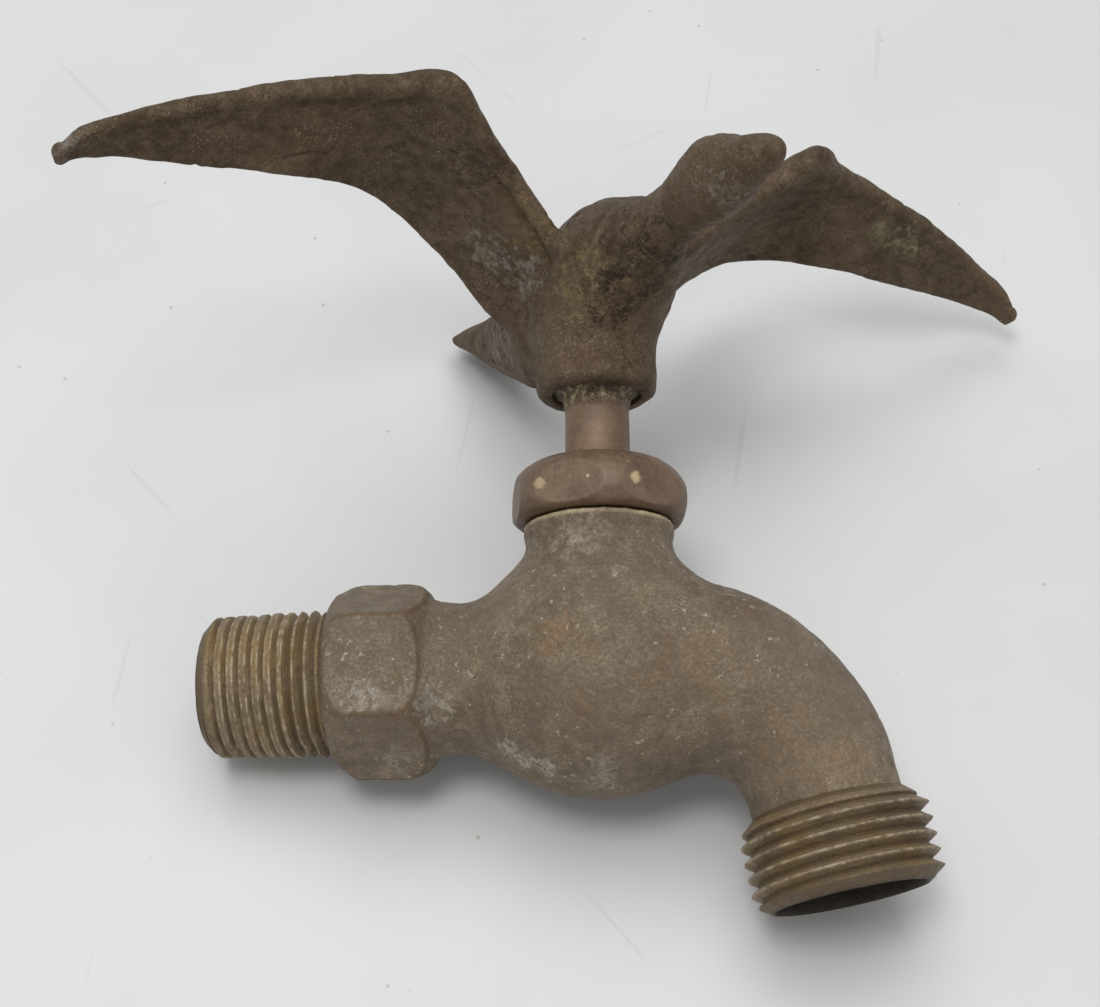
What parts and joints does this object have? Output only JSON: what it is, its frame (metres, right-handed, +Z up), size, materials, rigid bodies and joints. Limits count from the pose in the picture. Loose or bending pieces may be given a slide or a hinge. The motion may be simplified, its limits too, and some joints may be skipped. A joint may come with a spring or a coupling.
{
  "type": "hose bib",
  "caption": "Compression garden tap with male pipe inlet, hexagon pad, bent spout with hose thread, packing nut and a cast flying-bird handle that screws the valve open.",
  "frame": {"origin": "centre of the inlet's threaded end face, on the inlet axis", "axes": "+X along the inlet pipe towards the spout, +Z up the stem towards the handle, +Y away from the side the beak points to at rest"},
  "size_m": [0.141, 0.0969, 0.1183],
  "materials": {
    "body_brass": "sand-cast, weathered brown-grey",
    "handle_brass": "cast, dark brown patina",
    "nut_brass": "turned, reddish brown patina",
    "stem_brass": "turned, worn reddish",
    "washer_rubber": "black rubber",
    "packing_graphite": "graphited cord packing"
  },
  "bodies": {
    "valve": {"valve_body": "body_brass", "packing_nut": "nut_brass", "packing_gland": "stem_brass", "packing_ring": "packing_graphite"},
    "washer": {"seat_washer": "washer_rubber"},
    "stem_and_handle": {"stem": "stem_brass", "washer_screw": "stem_brass", "bird_handle": "handle_brass", "handle_set_screw": "stem_brass"}
  },
  "joints": [
    {"name": "stem_rise", "type": "slide", "parent": "valve", "child": "washer", "axis": [0, 0, 1], "range_m": [0, 0.005]},
    {"name": "stem_turn", "type": "hinge", "parent": "washer", "child": "stem_and_handle", "pos_m": [0.0573, 0, 0.03], "axis": [0, 0, 1], "range_deg": [0, 720]}
  ],
  "couplings": [
    {"joint": "stem_rise", "follows": "stem_turn", "m_per_rad": 0.00039789}
  ]
}
